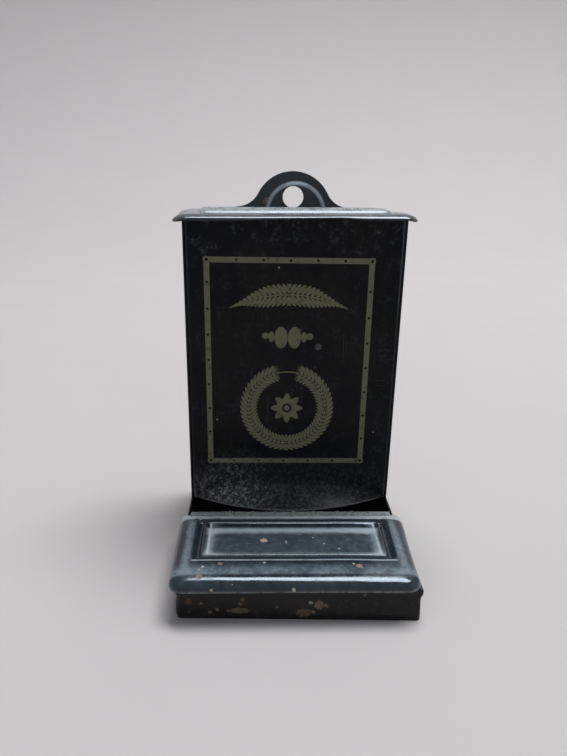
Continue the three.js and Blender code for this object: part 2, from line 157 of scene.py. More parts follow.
def rounded_loop(half, front, rear, corner, rear_corner, z, across=44, along=22, round_steps=10):
    """A rounded rectangle, counter-clockwise from above, with enough points for dents."""
    back, fore = max(rear_corner, 0.1), max(corner, 0.1)
    right_rear = arc(half - back, rear - back, back, 0, 90, round_steps)
    left_rear = arc(-half + back, rear - back, back, 90, 180, round_steps)
    left_front = arc(-half + fore, front + fore, fore, 180, 270, round_steps)
    right_front = arc(half - fore, front + fore, fore, 270, 360, round_steps)
    flat = np.concatenate([
        right_rear, straight(right_rear[-1], left_rear[0], across),
        left_rear, straight(left_rear[-1], left_front[0], along),
        left_front, straight(left_front[-1], right_front[0], across),
        right_front, straight(right_front[-1], right_rear[0], along)])
    return np.column_stack([flat, np.full(len(flat), z)])


def pressed_pan(name, rows):
    """A pressed lid from rows of half width, front, rear, corner and height, edge to middle."""
    outer = np.array([rounded_loop(*row) for row in rows])
    around = np.roll(outer, -1, 1) - np.roll(outer, 1, 1)
    inward = np.gradient(outer, axis=0)
    normal = np.cross(around, inward)
    normal /= np.maximum(np.linalg.norm(normal, axis=2, keepdims=True), 1e-9)
    inner = outer - SHEET * normal
    count, size = outer.shape[:2]
    points = np.concatenate([outer.reshape(-1, 3), inner.reshape(-1, 3)])
    index = np.arange(count * size).reshape(count, size)
    nxt = np.roll(index, -1, 1)
    shift = count * size
    faces = []
    for k in range(count - 1):
        a, b, c, d = index[k], nxt[k], nxt[k + 1], index[k + 1]
        faces += np.stack([a, b, c, d], 1).tolist()
        faces += (np.stack([a, d, c, b], 1) + shift).tolist()
    faces += np.stack([index[0], index[0] + shift, nxt[0] + shift, nxt[0]], 1).tolist()
    faces += [index[-1].tolist(), (index[-1][::-1] + shift).tolist()]
    return make_piece(name, points, faces)


def sheet_from_grid(name, outer, flip=False):
    """A closed sheet from a grid of points on its outer face."""
    du = np.gradient(outer, axis=0)
    dv = np.gradient(outer, axis=1)
    normal = np.cross(du, dv)
    normal /= np.maximum(np.linalg.norm(normal, axis=2, keepdims=True), 1e-9)
    if flip:
        normal = -normal
    inner = outer - SHEET * normal
    rows, cols = outer.shape[:2]
    index = np.arange(rows * cols).reshape(rows, cols)
    shift = rows * cols
    a, b, c, d = index[:-1, :-1], index[1:, :-1], index[1:, 1:], index[:-1, 1:]
    quads = np.stack([a, b, c, d], 2).reshape(-1, 4)
    faces = quads.tolist() + (quads[:, ::-1] + shift).tolist()
    rim = np.concatenate([index[:, 0][::-1], index[0, 1:], index[1:, -1], index[-1, 1:-1][::-1]])
    nxt = np.roll(rim, -1)
    faces += np.stack([rim, nxt, nxt + shift, rim + shift], 1).tolist()
    if flip:
        faces = [f[::-1] for f in faces]
    return make_piece(name, np.concatenate([outer.reshape(-1, 3), inner.reshape(-1, 3)]), faces)


def closed_loft(name, rings):
    """A solid through equal rings of points, with a flat cap at each end."""
    count, size = len(rings), len(rings[0])
    last = (count - 1) * size
    faces = [list(range(size))[::-1], [last + i for i in range(size)]]
    for ring in range(0, last, size):
        for i in range(size):
            j = (i + 1) % size
            faces.append([ring + i, ring + j, ring + size + j, ring + size + i])
    return make_piece(name, np.array(rings, float).reshape(-1, 3), faces)


def strip_along_x(name, outline, half, slices=48):
    """A closed profile in the Y-Z plane, drawn counter-clockwise seen from +X, run along X."""
    return closed_loft(name, [[(x, y, z) for y, z in outline] for x in np.linspace(-half, half, slices + 1)])


def rod(name, centre, radius, half, steps=24):
    return strip_along_x(name, arc(centre[0], centre[1], radius, 0, 360, steps)[:-1], half, 1)


def prism_along_z(name, outline, z0, z1, levels=2):
    """A closed outline in the X-Y plane, drawn counter-clockwise from above, run upwards."""
    return closed_loft(name, [[(x, y, z) for x, y in outline] for z in np.linspace(z0, z1, levels)])


# Slow bends in old sheet, in millimetres.

def ripple(x, z, seed):
    """Five crossing waves of different lengths and directions, between -1 and 1."""
    waves = ((0.11, 0.07, 0.9), (0.05, 0.13, 2.1), (0.19, 0.045, 4.0), (0.083, 0.19, 5.2),
             (0.03, 0.05, 1.3))
    return sum(np.sin(kx * x + kz * z * (1 if i % 2 else -1) + phase + seed * (i + 1))
               for i, (kx, kz, phase) in enumerate(waves)) / len(waves)


# Pieces

def hinge_curl(name, pin, flange_top, flange_from):
    """The strip behind a lid that curls down and round its wire."""
    inner = PIN_RADIUS + PIN_PLAY
    outer = inner + SHEET
    outside = np.concatenate([
        [[flange_from, flange_top]],
        arc(pin[0] + outer - SHEET, flange_top - SHEET, SHEET, 90, 0, 6),
        arc(pin[0], pin[1], outer, 0, -265, 36)])
    inside = np.concatenate([
        arc(pin[0], pin[1], inner, -265, 0, 36),
        [[pin[0] + inner, flange_top - SHEET], [flange_from, flange_top - SHEET]]])
    outline = np.concatenate([outside, inside])[::-1]
    return strip_along_x(name, outline, CURL_HALF)


LID_REAR, LID_FLANGE_TOP = -13.4, 10.9

# Half width, front, rear, front corner, rear corner and height, from the lid's edge to its middle.
# Where the rear is None it follows the slope from the frame down to the flange.
LOWER_LID_ROWS = [
    (36.6, -52.5, None, 4.6, 1.6, 10.2),
    (36.55, -52.42, None, 4.6, 1.6, 10.75),
    (36.35, -52.18, None, 4.5, 1.7, 11.4),
    (35.95, -51.75, None, 4.3, 1.9, 12.05),
    (35.35, -51.1, None, 4.0, 2.2, 12.6),
    (34.6, -50.3, None, 3.7, 2.5, 12.97),
    (33.9, -49.4, None, 3.4, 2.7, 13.22),
    (33.2, -48.3, None, 3.2, 2.8, 13.38),
    (32.5, -46.6, -19.0, 3.0, 2.8, 13.48),
    (31.9, -44.4, -19.2, 2.9, 2.6, 13.5),
    (31.4, -42.2, -19.45, 2.7, 2.4, 13.46),
    (31.15, -41.75, -19.65, 2.6, 2.3, 13.5),
    (30.95, -41.4, -19.85, 2.5, 2.2, 13.36),
    (30.7, -41.15, -20.05, 2.4, 2.0, 12.95),
    (30.3, -40.9, -20.25, 2.2, 1.8, 12.5),
    (29.7, -40.5, -20.5, 1.9, 1.6, 12.3),
    (29.0, -40.1, -20.75, 1.5, 1.4, 12.3),
    (28.5, -39.75, -20.95, 1.3, 1.2, 12.6),
    (28.3, -39.5, -21.15, 1.2, 1.2, 13.0),
    (28.0, -39.2, -21.3, 1.1, 1.1, 13.25),
    (27.7, -38.9, -21.65, 1.1, 1.1, 13.36),
    (27.35, -38.6, -22.0, 1.1, 1.1, 13.32),
    (27.1, -38.35, -22.35, 1.1, 1.1, 13.18),
    (26.85, -38.15, -22.8, 1.1, 1.1, 13.1),
    (26.7, -38.05, -24.3, 1.1, 1.1, 13.06),
    (26.3, -37.8, -25.0, 1.2, 1.2, 12.96),
    (25.8, -37.4, -25.7, 1.3, 1.3, 12.72),
    (25.2, -36.9, -26.4, 1.4, 1.4, 12.5),
    (24.3, -36.2, -27.3, 1.6, 1.6, 12.38),
    (22.5, -34.8, -28.6, 1.4, 1.4, 12.33),
    (20.0, -32.6, -30.8, 0.3, 0.3, 12.3),
]


def lower_lid():
    """Lid of the tray: crowned frame, groove, raised panel dished in the middle, curl behind."""
    def rear_slope(z):
        return LID_REAR - 5.6 * np.clip((z - LID_FLANGE_TOP) / 2.5, 0, 1)

    rows = [(half, front, rear_slope(z) if rear is None else rear, corner, back, z)
            for half, front, rear, corner, back, z in LOWER_LID_ROWS]
    lid = pressed_pan("lower_lid_pressed", smooth_rows(rows, 4))
    lid = apply_boolean(lid, hinge_curl("curl", LOWER_PIN, LID_FLANGE_TOP, LID_REAR - 0.35), "UNION")
    for side in (-1, 1):
        low, high = side * 34.75 - 0.65, side * 34.75 + 0.65
        notch = prism_along_z("notch", [(low, -13.7), (high, -13.7), (high, 0), (low, 0)], 0, 13.6)
        lid = apply_boolean(lid, notch, "DIFFERENCE")

    def bend(p):
        x, y, z = p.T
        forward = ease(-20, -46, y)
        behind = ease(-30, -20, y)
        loose = ease(-15, -22, y)
        x = x + ease(-20, -36, x) * 0.35 * forward
        x = x - ease(20, 36, x) * (0.8 * forward - 0.3 * behind * loose)
        z = z - 0.3 * ease(14, 36, x) * loose - 0.1 * ease(-20, -36, x) * forward
        waves = 0.07 * ripple(x * 1.7, y * 1.3, 1.0) + 0.035 * ripple(x * 6, y * 1.5, 2.0)
        z = z + waves * ease(-16, -21, y)
        return np.stack([x, y, z], 1)

    move_points(lid, bend)
    shade(lid)
    return lid


def top_lid():
    """Lid of the magazine: rolled edge at the front and sides, raised panel, curl behind."""
    edge, height, roll = 106.4, 2.2, 4.4
    half, front, cut = 38, -2.8, 16.2
    flat, past = edge + height, DEPTH + 8
    tilt = 0.0133
    rows = []
    for angle in np.linspace(0, math.pi / 2, 8):
        inset = roll * (1 - math.cos(angle))
        rows.append((half - inset, front + inset, past, 4 - 0.6 * inset, 1, edge + height * math.sin(angle)))
    rows += [
        (32.6, 2.6, past, 2, 1, flat + 0.02),
        (31.1, 3.8, 15.9, 2.7, 1, flat + 0.02),
        (30.5, 4.3, 15.35, 2.6, 1, flat + 0.3),
        (30.0, 4.8, 14.9, 2.4, 1, flat + 0.62),
        (29.4, 5.4, 14.3, 2.2, 1, flat + 0.86),
        (28, 6.6, 13.2, 1.8, 1, flat + 1.1),
        (24, 9.2, 10.6, 0.4, 0.4, flat + 1.38),
    ]
    lid = pressed_pan("top_lid_pressed", smooth_rows(rows, 4))
    behind = prism_along_z("behind", [(-60, cut), (60, cut), (60, 60), (-60, 60)], 90, 130)
    lid = apply_boolean(lid, behind, "DIFFERENCE")
    lid = apply_boolean(lid, hinge_curl("curl", TOP_PIN, flat, 15.6), "UNION")

    def bend(p):
        x, y, z = p.T
        loose = ease(17, 8, y)
        skirt = np.clip((flat - z) / height, 0, 1) * ease(3, -1, y)
        bowed = 0.35 + 0.75 * ease(-30, 14, x) - 0.55 * ease(14, 22, x)
        z = z + tilt * x * loose + bowed * skirt * ease(37.5, 34, abs(x))
        z = z - 0.25 * ease(-28, -38, x) * ease(2, 14, y) * loose
        z = z + 0.05 * ripple(x * 2, y, 2.0) * loose
        y = y + 0.12 * np.exp(-((x - 16) / 4) ** 2) * skirt
        return np.stack([x, y, z], 1)

    move_points(lid, bend)
    shade(lid)
    return lid


def lip_reach(x):
    """How far the scoop's edge stands forward of the plate."""
    return LIP_REACH * np.maximum(1 - (x / LIP_HALF) ** 2, 0)


def lip_height(x):
    """How high above the plate's foot the scoop begins."""
    return LIP_END_RISE + (LIP_RISE - LIP_END_RISE) * np.maximum(1 - (x / LIP_HALF) ** 4, 0)


def front_plate():
    """Front of the magazine, tucked between the walls, its foot drawn forward as a scoop."""
    edge, fold, tuck = HALF - SHEET - GAP, 0.5, 8.0
    right = np.concatenate([[(edge, tuck)], straight((edge, tuck + 0.01), (edge, fold), 4),
                            arc(edge - fold, fold, fold, 0, -90, 8)])
    face = np.stack([np.linspace(edge - fold, fold - edge, 73)[1:-1], np.zeros(71)], 1)
    plan = np.concatenate([right, face, (right * (-1, 1))[::-1]])
    low = np.linspace(0, 1, 19)
    high = np.linspace(0, 1, 56)[1:]
    columns = []
    for x, y in plan:
        rise = lip_height(x)
        start = LIP_FOOT + rise
        z = np.concatenate([LIP_FOOT + rise * low, start + (WALL_TOP - start) * high])
        share = np.concatenate([low, np.ones(len(high))])
        inside = ease(0, 0.6, y)
        wave = 0.12 * ripple(x, z, 0.4) * (1 - inside) * ease(34, 28, abs(x)) * ease(19, 30, z)
        forward = lip_reach(x) * (1 - share) ** LIP_SWEEP
        columns.append(np.stack([np.full_like(z, x), y - forward + wave, z], 1))
    return sheet_from_grid("front_plate_sheet", np.array(columns), flip=True)


def side_wrap():
    """One strip bent round the tray's corners: both walls and the tray's front, with its hem."""
    rear, bend, flange = DEPTH - SHEET - GAP, 0.8, 5.5
    corner_x, corner_y = HALF - TRAY_CORNER, TRAY_FRONT + TRAY_CORNER

    def tray_corner(side, inset, steps):
        start = 180 if side < 0 else 270
        return arc(side * corner_x, corner_y, TRAY_CORNER - inset, start, start + 90, steps)

    def outline(inset):
        return np.concatenate([
            [(flange - HALF, rear - inset)],
            arc(bend - HALF, rear - bend, bend - inset, 90, 180, 4),
            straight((inset - HALF, rear - bend), (inset - HALF, corner_y), 36),
            tray_corner(-1, inset, 12),
            straight((-corner_x, TRAY_FRONT + inset), (corner_x, TRAY_FRONT + inset), 40),
            tray_corner(1, inset, 12),
            straight((HALF - inset, corner_y), (HALF - inset, rear - bend), 36),
            arc(HALF - bend, rear - bend, bend - inset, 0, 90, 4),
            [(HALF - flange, rear - inset)]])

    low = np.concatenate([outline(0), outline(SHEET)[::-1]])
    wall = prism_along_z("side_wrap_sheet", low, 0, RIM_FRONT + 0.6, 14)
    upper = prism_along_z("side_wrap_upper", low, RIM_FRONT + 0.6, WALL_TOP, 2)
    wall = apply_boolean(wall, upper, "UNION")
    hem_rear = LOWER_PIN[0] - 2.4

    def hem_line(inset):
        return np.concatenate([
            [(inset - HALF, hem_rear)], tray_corner(-1, inset, 14),
            tray_corner(1, inset, 14), [(HALF - inset, hem_rear)]])

    hem = np.concatenate([hem_line(0.4), hem_line(1.0)[::-1]])
    hem = prism_along_z("hem", hem, RIM_REAR - 2.4, RIM_FRONT + 1)
    wall = apply_boolean(wall, hem, "UNION")
    past_top, past_front = WALL_TOP + 10, TRAY_FRONT - 10
    above = [(0, RIM_REAR), (0, past_top), (past_front, past_top), (past_front, RIM_FRONT),
             (TRAY_FRONT, RIM_FRONT), (hem_rear, RIM_REAR)]
    wall = apply_boolean(wall, strip_along_x("above", above, 80, 1), "DIFFERENCE")
    for pin in (TOP_PIN, LOWER_PIN):
        wall = apply_boolean(wall, rod("pin_hole", pin, PIN_RADIUS + PIN_PLAY, 60), "DIFFERENCE")
    slot = [(-34, rear - 3), (34, rear - 3), (34, DEPTH), (-34, DEPTH)]
    slot = prism_along_z("swing", slot, TOP_PIN[1] - 4, 120)
    wall = apply_boolean(wall, slot, "DIFFERENCE")

    def knock(p):
        """The tray is pushed to the right and a little askew; its right corner bulges."""
        x, y, z = p.T
        tray = ease(-18, -46, y)
        below = ease(10.4, 7.6, z)
        foot = ease(9.5, 1.0, z)
        right = ease(22, 35, x)
        x = x + tray * below * (0.75 + 0.3 * ease(-20, -35, x)) - 0.75 * right * tray * (1 - below)
        x = x + 1.2 * ease(30, 34.5, x) * ease(-40, -46, y) * np.exp(-((z - 8.6) / 1.3) ** 2)
        y = y - tray * foot * (0.3 + 0.026 * np.clip(x, -36, 36))
        return np.stack([x, y, z], 1)

    move_points(wall, knock)
    shade(wall, 30)
    return wall


def back_plate():
    """Back with its bell-shaped tab. The arch round the nail hole is pressed forward."""
    xs = np.unique(np.concatenate([
        np.linspace(-36, -14, 9), np.linspace(-14, 14, 94), np.linspace(14, 36, 9)]))
    zs = np.unique(np.concatenate([np.linspace(-1, 96, 30), np.linspace(96, 122.5, 88)]))
    grid_x, grid_z = np.meshgrid(xs, zs, indexing="ij")
    from_arch = np.where(grid_z > ARCH_Z, np.abs(np.hypot(grid_x - ARCH_X, grid_z - ARCH_Z) - ARCH_RADIUS),
                         np.abs(np.abs(grid_x - ARCH_X) - ARCH_RADIUS))
    fade = ease(102, 106, grid_z)
    bead = 0.55 * np.exp(-(from_arch / 0.6) ** 2) * fade
    y = DEPTH - SHEET - bead - 0.05 * (1 + ripple(grid_x, grid_z, 3.0)) * ease(100, 90, grid_z)
    sheet = sheet_from_grid("back_plate_sheet", np.stack([grid_x, y, grid_z], 2))

    dome_z, foot_z = TAB_TOP - TAB_RADIUS, TAB_FOOT + TAB_FOOT_RADIUS
    foot_x = math.sqrt((TAB_RADIUS + TAB_FOOT_RADIUS) ** 2 - (foot_z - dome_z) ** 2)
    lean = math.degrees(math.atan2(foot_z - dome_z, foot_x))
    tab = np.concatenate([arc(foot_x, foot_z, TAB_FOOT_RADIUS, 262, 180 + lean, 16),
                          arc(0, dome_z, TAB_RADIUS, lean, 90, 30)[1:]])
    tab = np.concatenate([tab, (tab[:-1] * (-1, 1))[::-1]])
    corner = arc(HALF - 2, 105.2, 2, 0, 82, 8)
    outline = np.concatenate([[(-HALF, 0), (HALF, 0)], corner, tab, (corner * (-1, 1))[::-1]])
    cutter = prism_along_z("outline", outline, -3, 3)
    turn_upright(cutter)
    sheet = apply_boolean(sheet, cutter, "INTERSECT")
    bore = prism_along_z("bore", arc(0, NAIL_Z, NAIL_RADIUS, 0, 360, 64)[:-1], -4, 4)
    turn_upright(bore)
    sheet = apply_boolean(sheet, bore, "DIFFERENCE")
    shade(sheet, 40)
    return sheet


def turn_upright(cutter):
    """A prism drawn flat in X-Y becomes one in X-Z, across the back plate."""
    move_points(cutter, lambda p: np.stack([p[:, 0], DEPTH - SHEET / 2 - p[:, 2], p[:, 1]], 1))


def add_node(tree, kind, settings, inputs, output):
    """Adds one node. An input is a plain value or what feeds it: a socket, or a Field."""
    made = tree.nodes.new(kind)
    for key, value in (settings or {}).items():
        setattr(made, key, value)
    for key, value in inputs.items() if isinstance(inputs, dict) else enumerate(inputs):
        if isinstance(value, Field):
            value = value.socket
        if isinstance(value, bpy.types.NodeSocket):
            tree.links.new(value, made.inputs[key])
        else:
            made.inputs[key].default_value = value
    return made.outputs[output]


# What repeats or follows a line, made by Geometry Nodes

class Recipe:
    """A Geometry Nodes tree with named inputs, and the short way to add its nodes."""

    def __init__(self, name, sizes):
        self.tree = bpy.data.node_groups.new(name, "GeometryNodeTree")
        self.tree.interface.new_socket("Geometry", in_out="INPUT", socket_type="NodeSocketGeometry")
        self.tree.interface.new_socket("Geometry", in_out="OUTPUT", socket_type="NodeSocketGeometry")
        self.sizes = sizes
        self.keys = {}
        for label, value in sizes.items():
            kind = "NodeSocketInt" if isinstance(value, int) else "NodeSocketFloat"
            socket = self.tree.interface.new_socket(label, in_out="INPUT", socket_type=kind)
            self.keys[label] = socket.identifier
        self.entry = self.tree.nodes.new("NodeGroupInput")

    def size(self, label):
        return self.entry.outputs[label]

    def node(self, kind, settings=None, inputs=(), output=0):
        return add_node(self.tree, kind, settings, inputs, output)

    def math(self, operation, *values):
        return self.node("ShaderNodeMath", {"operation": operation}, values)

    def vector_math(self, operation, *values):
        return self.node("ShaderNodeVectorMath", {"operation": operation}, values)

    def vector(self, *parts):
        return self.node("ShaderNodeCombineXYZ", {}, parts)

    def run(self, name, mesh, result, material):
        """Runs the tree on a mesh and keeps the result as a plain piece."""
        solid = self.node("GeometryNodeRealizeInstances", {}, {0: result})
        painted = self.node("GeometryNodeSetMaterial", {}, {0: solid, "Material": material})
        leave = self.tree.nodes.new("NodeGroupOutput")
        self.tree.links.new(painted, leave.inputs[0])
        piece = bpy.data.objects.new(name, mesh)
        bpy.context.scene.collection.objects.link(piece)
        step = piece.modifiers.new("recipe", "NODES")
        step.node_group = self.tree
        for label, value in self.sizes.items():
            step[self.keys[label]] = value
        piece = bake_modifiers(piece)
        shade(piece, 50)
        return piece


def iron_wire(name, pin, material):
    """A hinge wire with its two hammered heads, and the slight bow of a drawn wire."""
    recipe = Recipe(name + "_recipe", {
        "Half": WIRE_HALF / 1000, "Radius": PIN_RADIUS / 1000, "Head": WIRE_HEAD / 1000,
        "Head thickness": WIRE_HEAD_THICKNESS / 1000, "Bow": WIRE_BOW / 1000, "Seed": 3})
    half, head, thickness = recipe.size("Half"), recipe.size("Head"), recipe.size("Head thickness")
    minus = recipe.math("MULTIPLY", half, -1.0)
    line = recipe.node("GeometryNodeCurvePrimitiveLine", {}, {
        "Start": recipe.vector(minus), "End": recipe.vector(half)})
    dense = recipe.node("GeometryNodeResampleCurve", {}, {"Curve": line, "Count": 72})
    wave = recipe.node("ShaderNodeTexNoise", {"noise_dimensions": "4D"}, {
        "Scale": 90.0, "Detail": 1.0, "W": recipe.size("Seed")}, "Color")
    level = recipe.vector_math("SUBTRACT", wave, (0.5, 0.5, 0.5))
    bow = recipe.node("ShaderNodeVectorMath", {"operation": "SCALE"}, {
        0: level, "Scale": recipe.size("Bow")})
    bent = recipe.node("GeometryNodeSetPosition", {}, {"Geometry": dense, "Offset": bow})
    ring = recipe.node("GeometryNodeCurvePrimitiveCircle", {}, {
        "Resolution": 18, "Radius": recipe.size("Radius")})
    rod_mesh = recipe.node("GeometryNodeCurveToMesh", {}, {
        "Curve": bent, "Profile Curve": ring, "Fill Caps": True})
    button = recipe.node("GeometryNodeMeshUVSphere", {}, {"Segments": 20, "Rings": 10, "Radius": 1.0})
    reach = recipe.math("SUBTRACT", half, thickness)
    joined = recipe.tree.nodes.new("GeometryNodeJoinGeometry")
    recipe.tree.links.new(rod_mesh, joined.inputs[0])
    for way in (-1.0, 1.0):
        end = recipe.node("GeometryNodeTransform", {}, {
            "Geometry": button, "Translation": recipe.vector(recipe.math("MULTIPLY", reach, way)),
            "Scale": recipe.vector(thickness, head, head)})
        recipe.tree.links.new(end, joined.inputs[0])
    piece = recipe.run(name, bpy.data.meshes.new(name), joined.outputs[0], material)
    move_points(piece, lambda p: p + (0, pin[0] + PLATE_Y, pin[1]))
    return piece


def crumbs(name, carrier, catch, density, size, seed, material):
    """Lint and crumbs that settled on a piece, thick where catch is near 1."""
    mesh = carrier.data.copy()
    shares = mesh.attributes.new("catch", "FLOAT", "POINT")
    shares.data.foreach_set("value", np.clip(catch(points_of(mesh)), 0, 1).astype(float))
    recipe = Recipe(name + "_recipe", {"Density": density * 1e6, "Size": size / 1000, "Seed": seed})
    share = recipe.node("GeometryNodeInputNamedAttribute", {"data_type": "FLOAT"}, {"Name": "catch"})
    amount = recipe.math("MULTIPLY", share, recipe.size("Density"))
    spots = recipe.node("GeometryNodeDistributePointsOnFaces", {"distribute_method": "RANDOM"}, {
        "Mesh": recipe.entry.outputs["Geometry"], "Density": amount, "Seed": recipe.size("Seed")})
    grain = recipe.node("GeometryNodeMeshIcoSphere", {}, {"Radius": recipe.size("Size"), "Subdivisions": 1})
    turn = recipe.node("FunctionNodeRandomValue", {"data_type": "FLOAT_VECTOR"}, {
        "Min": (0, 0, 0), "Max": (6.283, 6.283, 6.283), "Seed": 5})
    shape = recipe.node("FunctionNodeRandomValue", {"data_type": "FLOAT_VECTOR"}, {
        "Min": (0.4, 0.35, 0.25), "Max": (1.7, 1.0, 0.7), "Seed": 9})
    placed = recipe.node("GeometryNodeInstanceOnPoints", {}, {
        "Points": spots, "Instance": grain, "Rotation": turn, "Scale": shape})
    return recipe.run(name, mesh, placed, material)


# Shader expressions

def math_node(operation):
    """A method that adds one Math node."""
    return lambda self, *others: self.math(operation, *others)


class Field:
    """One socket of a finish. Arithmetic on it adds the Math nodes that work it out."""

    def __init__(self, finish, socket):
        self.finish = finish
        self.socket = socket

    def math(self, operation, *others):
        return self.finish.node("ShaderNodeMath", {"operation": operation}, [self, *others])

    def vector_math(self, operation, *others, output=0):
        return self.finish.node("ShaderNodeVectorMath", {"operation": operation}, [self, *others], output)

    __add__ = __radd__ = math_node("ADD")
    __sub__ = math_node("SUBTRACT")
    __mul__ = __rmul__ = math_node("MULTIPLY")
    __truediv__ = math_node("DIVIDE")
    __pow__ = math_node("POWER")
    __abs__ = math_node("ABSOLUTE")
    least = math_node("MINIMUM")
    most = math_node("MAXIMUM")

    def __rsub__(self, other):
        return self.finish.node("ShaderNodeMath", {"operation": "SUBTRACT"}, [other, self])

    def __neg__(self):
        return 0.0 - self

    def between(self, low, high):
        """0 at low, 1 at high, eased at both ends."""
        return self.finish.node("ShaderNodeMapRange", {"interpolation_type": "SMOOTHSTEP"},
                                [self, low, high, 0.0, 1.0])

    def near(self, centre, reach):
        """1 at centre, fading to 0 at a distance of reach."""
        return abs(self - centre).between(reach, reach * 0.1)


class Finish:
    """A material, with its Principled shader and short ways to add what feeds it."""

    def __init__(self, name, **fixed):
        self.material = bpy.data.materials.new(name)
        self.material.use_nodes = True
        self.tree = self.material.node_tree
        self.tree.nodes.clear()
        output = self.tree.nodes.new("ShaderNodeOutputMaterial")
        self.shader = self.tree.nodes.new("ShaderNodeBsdfPrincipled")
        self.tree.links.new(self.shader.outputs[0], output.inputs[0])
        for socket, value in fixed.items():
            self.shader.inputs[socket.replace("_", " ")].default_value = value
        self.place = self.node("ShaderNodeVectorMath", {"operation": "SCALE"},
                               {"Vector": self.node("ShaderNodeTexCoord", output="Object"), "Scale": 1000.0})
        self.x, self.y, self.z = (
            self.node("ShaderNodeSeparateXYZ", {}, [self.place], axis) for axis in "XYZ")
        self.y -= PLATE_Y

    def node(self, kind, settings=None, inputs=(), output=0):
        return Field(self, add_node(self.tree, kind, settings, inputs, output))

    def feed(self, **links):
        for socket, value in links.items():
            self.tree.links.new(value.socket, self.shader.inputs[socket.replace("_", " ")])

    def shifted(self, offset, stretch=(1, 1, 1)):
        return self.node("ShaderNodeMapping", {}, {
            "Vector": self.place, "Location": offset, "Scale": stretch})

    def noise(self, size, detail=3.0, rough=0.55, offset=(0, 0, 0), stretch=(1, 1, 1)):
        return self.node("ShaderNodeTexNoise", {}, {
            "Vector": self.shifted(offset, stretch), "Scale": 1 / size, "Detail": detail,
            "Roughness": rough}, "Fac")

    def cells(self, size, offset, output="Distance"):
        return self.node("ShaderNodeTexVoronoi", {}, {
            "Vector": self.shifted(offset), "Scale": 1 / size}, output)

    def specks(self, size, share, radius, offset=(0, 0, 0)):
        """Small round specks in some of the cells of a random pattern."""
        at = self.cells(size, offset)
        pick = self.node("ShaderNodeSeparateColor", {}, [self.cells(size, offset, "Color")], 0)
        return at.between(radius, radius * 0.55) * pick.between(1 - share, 1 - share + 0.02)

    def blend(self, share, base, over):
        return self.node("ShaderNodeMix", {"data_type": "RGBA"}, {
            0: share, 6: colour(base), 7: colour(over)}, 2)

    def bump(self, height, strength, distance):
        return self.node("ShaderNodeBump", {}, {
            "Strength": strength, "Distance": distance, "Height": height}, "Normal")

    def spot(self, centre, radius, ragged, stretch=(1, 1, 1)):
        """A ragged patch about a point given in millimetres from the plate's face."""
        centre = (centre[0], centre[1] + PLATE_Y, centre[2])
        away = self.place.vector_math("SUBTRACT", centre).vector_math("MULTIPLY", stretch)
        away = away.vector_math("LENGTH", output="Value")
        return (away + ragged * radius).between(radius * 1.05, radius * 0.7)


def colour(value):
    return value if isinstance(value, Field) else (*value, 1)


def any_of(*shares):
    total = shares[0]
    for share in shares[1:]:
        total = total.most(share)
    return total


# Finishes

JAPAN = (0.0036, 0.0042, 0.0062)
JAPAN_WARM = (0.0085, 0.0068, 0.006)
# The lids' blue base, and the blue tint of their reflections set in finishes, are a painted sheen of sky
# light on black japan.
BLUE_SHEEN_JAPAN = (0.009, 0.0145, 0.0215)
DUST = (0.42, 0.47, 0.45)
GILT = (0.18, 0.176, 0.112)
RUST = (0.21, 0.135, 0.09)
RUST_DARK = (0.05, 0.028, 0.02)
RUST_PINK = (0.24, 0.13, 0.115)
CHALK = (0.42, 0.36, 0.29)
GREY_CHIP = (0.36, 0.37, 0.34)


def japan(name, base=JAPAN, warm=JAPAN_WARM, level=0.2, tint=(1, 1, 1), gloss=0.25, spots=(), layers=(),
          paint=None, dusty=0.2, chips=0.02):
    """Black japan over tinplate: gloss with a haze, fine scratches, dust, chips down to rust.

    layers are functions that give a share and a colour; spots are places of chips, and of one painted
    highlight on the body, that are (centre, radius, colour, stretch)."""
    f = Finish(name, Specular_IOR_Level=level, Specular_Tint=(*tint, 1))
    broad = f.noise(22, 3, 0.6)
    fine = f.noise(2.2, 4, 0.65, (31, 7, 3))
    grain = f.noise(0.35, 2, 0.6, (3, 17, 9))
    now = f.blend(broad.between(0.35, 0.7), base, warm)
    haze = (broad * fine).between(0.2, 0.42)

    upright = f.noise(0.5, 2, 0.5, (5, 1, 2), (1, 0.5, 0.03)).between(0.69, 0.74)
    across = f.noise(0.6, 1, 0.5, (9, 4, 8), (0.05, 0.4, 1)).between(0.71, 0.76)
    rubs = any_of(upright * broad.between(0.42, 0.6), across * fine.between(0.45, 0.6))
    now = f.blend(haze * 0.3, now, tuple(0.012 + 2 * c for c in base))
    now = f.blend(rubs * 0.3, now, (0.09, 0.095, 0.1))
    rough = gloss + haze * 0.1 + rubs * 0.15 + (fine - 0.5) * 0.08
    if paint is not None:
        share, kept = paint(f, fine, grain)
        now = f.blend(share * kept, now, GILT)
        rough = rough + share * 0.2
    for layer in layers:
        share, tone = layer(f, fine, grain)
        now = f.blend(share, now, tone)
        rough = rough + share * 0.45
    settled = f.specks(0.8, 0.04 + 0.2 * dusty, 0.24, (4, 4, 4)) * fine.between(0.35, 0.6) * dusty
    now = f.blend(settled, now, (0.3, 0.32, 0.31))

    ragged = (f.noise(0.8, 3, 0.7, (12, 2, 5)) - 0.5) * 1.7
    bare_and_glint = f.specks(6.5, chips, 0.13, (2, 8, 1))
    now = f.blend(bare_and_glint * 0.8, now, f.blend(fine, RUST, RUST_DARK))
    for centre, radius, tone, *stretch in spots:
        here = f.spot(centre, radius, ragged, *stretch)
        dark, light = (tuple(c * share for c in tone) for share in (0.55, 1.15))
        mottle = f.blend(grain.between(0.35, 0.6), dark, light)
        now = f.blend(here * 0.9, now, mottle)
        bare_and_glint = bare_and_glint.most(here)
    rough = (rough + bare_and_glint * 0.5 + settled * 0.3).most(0.06).least(0.95)
    height = fine * 0.02 + grain * 0.004 - bare_and_glint * 0.05
    f.feed(Base_Color=now, Roughness=rough, Normal=f.bump(height, 0.25, 0.0006))
    return f.material


# The print, measured in millimetres on the plate. Each function gives the share that is printed.

